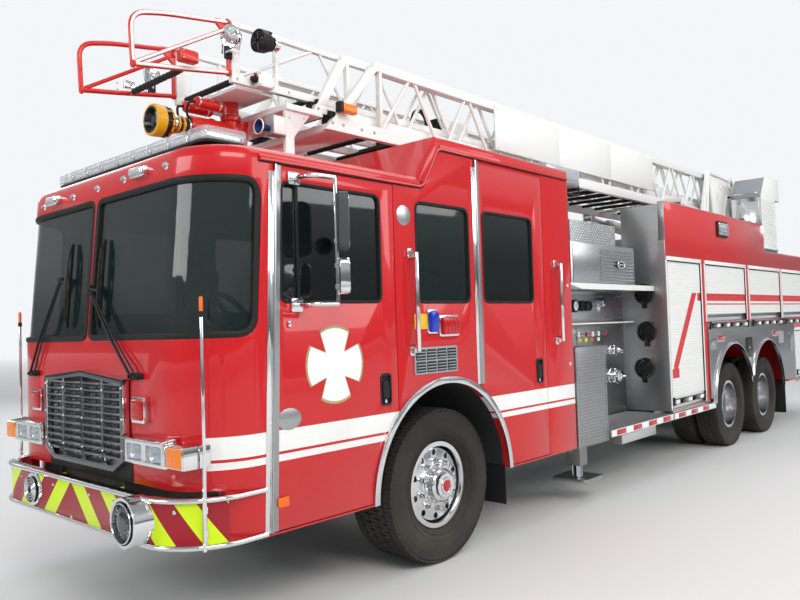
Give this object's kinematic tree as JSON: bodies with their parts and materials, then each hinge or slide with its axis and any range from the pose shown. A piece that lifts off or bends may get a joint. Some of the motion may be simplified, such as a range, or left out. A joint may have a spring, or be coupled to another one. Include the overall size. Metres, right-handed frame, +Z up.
{
  "type": "fire engine with a rear-mounted aerial ladder",
  "caption": "Three-axle fire engine: forward-control crew cab, midship pump panel, shuttered rear body and a rear-mounted extending aerial ladder on a turntable.",
  "frame": {"origin": "on the ground, at the middle of the overall length and width", "axes": "+X forward, +Y to the vehicle's left, +Z up"},
  "size_m": [12.4, 3.064, 3.865],
  "materials": {
    "red_paint": "gloss red paint",
    "white_paint": "gloss white paint",
    "tip_red": "gloss red paint",
    "chassis_black": "satin black paint",
    "bright_chrome": "polished",
    "stainless": "brushed",
    "tread_plate": "raised diamond pattern",
    "polished_alloy": "polished",
    "tyre_rubber": "moulded tread",
    "tinted_glass": "clear, lightly tinted",
    "clear_lens": "clear lens on a black base",
    "seat_fabric": "woven",
    "grey_plastic": "grained",
    "engine_iron": "painted casting",
    "rod_chrome": "ground and plated"
  },
  "bodies": {
    "chassis": {"chassis_frame": "chassis_black", "axles": "chassis_black", "cab_shell": "red_paint", "cab_floor": "grey_plastic", "cab_glass": "tinted_glass", "bumper": "red_paint", "grille": "bright_chrome", "headlamps": "bright_chrome", "light_bar": "clear_lens", "cab_brightwork": "bright_chrome", "seats": "seat_fabric", "dashboard": "grey_plastic", "engine": "engine_iron", "pump_house": "stainless", "running_boards": "tread_plate", "body_shell": "red_paint", "roll_shutters": "white_paint", "rear_skirts": "stainless", "tail_fittings": "stainless", "turntable_ring": "chassis_black", "ladder_cradle": "white_paint"},
    "turntable_body": {"turntable": "white_paint", "control_console": "stainless"},
    "ladder_base_body": {"ladder_base": "white_paint"},
    "ladder_mid_body": {"ladder_mid": "white_paint"},
    "ladder_fly_body": {"ladder_fly": "white_paint", "tip_guard": "tip_red", "tip_fittings": "grey_plastic"},
    "lift_barrels_body": {"lift_barrels": "white_paint"},
    "lift_rods_body": {"lift_rods": "rod_chrome"},
    "front_door_left_body": {"front_door_left": "red_paint", "front_door_glass_left": "tinted_glass", "mirror_left": "bright_chrome"},
    "rear_door_left_body": {"rear_door_left": "red_paint", "rear_door_glass_left": "tinted_glass"},
    "knuckle_left_body": {"knuckle_left": "chassis_black"},
    "front_wheel_left": {"front_tyre_left": "tyre_rubber", "front_rim_left": "polished_alloy"},
    "rear_wheels_1_left": {"rear_tyres_1_left": "tyre_rubber", "rear_rims_1_left": "polished_alloy"},
    "rear_wheels_2_left": {"rear_tyres_2_left": "tyre_rubber", "rear_rims_2_left": "polished_alloy"},
    "outrigger_left_body": {"outrigger_left": "tread_plate"},
    "jack_left_body": {"jack_left": "chassis_black"},
    "front_door_right_body": {"front_door_right": "red_paint", "front_door_glass_right": "tinted_glass", "mirror_right": "bright_chrome"},
    "rear_door_right_body": {"rear_door_right": "red_paint", "rear_door_glass_right": "tinted_glass"},
    "knuckle_right_body": {"knuckle_right": "chassis_black"},
    "front_wheel_right": {"front_tyre_right": "tyre_rubber", "front_rim_right": "polished_alloy"},
    "rear_wheels_1_right": {"rear_tyres_1_right": "tyre_rubber", "rear_rims_1_right": "polished_alloy"},
    "rear_wheels_2_right": {"rear_tyres_2_right": "tyre_rubber", "rear_rims_2_right": "polished_alloy"},
    "outrigger_right_body": {"outrigger_right": "tread_plate"},
    "jack_right_body": {"jack_right": "chassis_black"}
  },
  "joints": [
    {"name": "front_door_left_hinge", "type": "hinge", "parent": "chassis", "child": "front_door_left_body", "pos_m": [5.45, 1.2555, 0.56], "axis": [0.0426, 0, -0.9991], "range_deg": [0, 75]},
    {"name": "rear_door_left_hinge", "type": "hinge", "parent": "chassis", "child": "rear_door_left_body", "pos_m": [3.44, 1.2555, 0.56], "axis": [0, 0, -1], "range_deg": [0, 75]},
    {"name": "steer_left", "type": "hinge", "parent": "chassis", "child": "knuckle_left_body", "pos_m": [3.9, 0.85, 0.545], "axis": [0, 0, 1], "range_deg": [-35, 35]},
    {"name": "front_wheel_left_spin", "type": "hinge", "parent": "knuckle_left_body", "child": "front_wheel_left", "pos_m": [3.9, 1.02, 0.545], "axis": [0, 1, 0], "continuous": true},
    {"name": "rear_wheels_1_left_spin", "type": "hinge", "parent": "chassis", "child": "rear_wheels_1_left", "pos_m": [-2.043, 0.91, 0.535], "axis": [0, 1, 0], "continuous": true},
    {"name": "rear_wheels_2_left_spin", "type": "hinge", "parent": "chassis", "child": "rear_wheels_2_left", "pos_m": [-3.443, 0.91, 0.535], "axis": [0, 1, 0], "continuous": true},
    {"name": "outrigger_left_slide", "type": "slide", "parent": "chassis", "child": "outrigger_left_body", "axis": [0, 1, 0], "range_m": [0, 1.1]},
    {"name": "jack_left_slide", "type": "slide", "parent": "outrigger_left_body", "child": "jack_left_body", "axis": [0, 0, -1], "range_m": [0, 0.45]},
    {"name": "front_door_right_hinge", "type": "hinge", "parent": "chassis", "child": "front_door_right_body", "pos_m": [5.45, -1.2555, 0.56], "axis": [-0.0426, 0, 0.9991], "range_deg": [0, 75]},
    {"name": "rear_door_right_hinge", "type": "hinge", "parent": "chassis", "child": "rear_door_right_body", "pos_m": [3.44, -1.2555, 0.56], "axis": [0, 0, 1], "range_deg": [0, 75]},
    {"name": "steer_right", "type": "hinge", "parent": "chassis", "child": "knuckle_right_body", "pos_m": [3.9, -0.85, 0.545], "axis": [0, 0, 1], "range_deg": [-35, 35]},
    {"name": "front_wheel_right_spin", "type": "hinge", "parent": "knuckle_right_body", "child": "front_wheel_right", "pos_m": [3.9, -1.02, 0.545], "axis": [0, 1, 0], "continuous": true},
    {"name": "rear_wheels_1_right_spin", "type": "hinge", "parent": "chassis", "child": "rear_wheels_1_right", "pos_m": [-2.043, -0.91, 0.535], "axis": [0, 1, 0], "continuous": true},
    {"name": "rear_wheels_2_right_spin", "type": "hinge", "parent": "chassis", "child": "rear_wheels_2_right", "pos_m": [-3.443, -0.91, 0.535], "axis": [0, 1, 0], "continuous": true},
    {"name": "outrigger_right_slide", "type": "slide", "parent": "chassis", "child": "outrigger_right_body", "axis": [0, -1, 0], "range_m": [0, 1.1]},
    {"name": "jack_right_slide", "type": "slide", "parent": "outrigger_right_body", "child": "jack_right_body", "axis": [0, 0, -1], "range_m": [0, 0.45]},
    {"name": "turntable_turn", "type": "hinge", "parent": "chassis", "child": "turntable_body", "pos_m": [-4.1, 0, 2.65], "axis": [0, 0, 1], "continuous": true},
    {"name": "ladder_elevation", "type": "hinge", "parent": "turntable_body", "child": "ladder_base_body", "pos_m": [-4.275, 0, 3.769], "axis": [0, -1, 0], "range_deg": [0, 75]},
    {"name": "ladder_mid_slide", "type": "slide", "parent": "ladder_base_body", "child": "ladder_mid_body", "axis": [1, 0, 0], "range_m": [0, 6.9]},
    {"name": "ladder_fly_slide", "type": "slide", "parent": "ladder_mid_body", "child": "ladder_fly_body", "axis": [1, 0, 0], "range_m": [0, 6.9]},
    {"name": "lift_barrels_tilt", "type": "hinge", "parent": "turntable_body", "child": "lift_barrels_body", "pos_m": [-4.2, 0, 2.95], "axis": [0, -1, 0], "range_deg": [0, 64.02]},
    {"name": "lift_rods_slide", "type": "slide", "parent": "lift_barrels_body", "child": "lift_rods_body", "axis": [0.9948, 0, 0.1019], "range_m": [0, 0.8549]}
  ],
  "couplings": [
    {"joint": "steer_right", "follows": "steer_left", "ratio": 1},
    {"joint": "ladder_fly_slide", "follows": "ladder_mid_slide", "ratio": 1},
    {"joint": "lift_barrels_tilt", "follows": "ladder_elevation", "ratio": 0.84699},
    {"joint": "lift_rods_slide", "follows": "ladder_elevation", "m_per_rad": 0.64927}
  ]
}
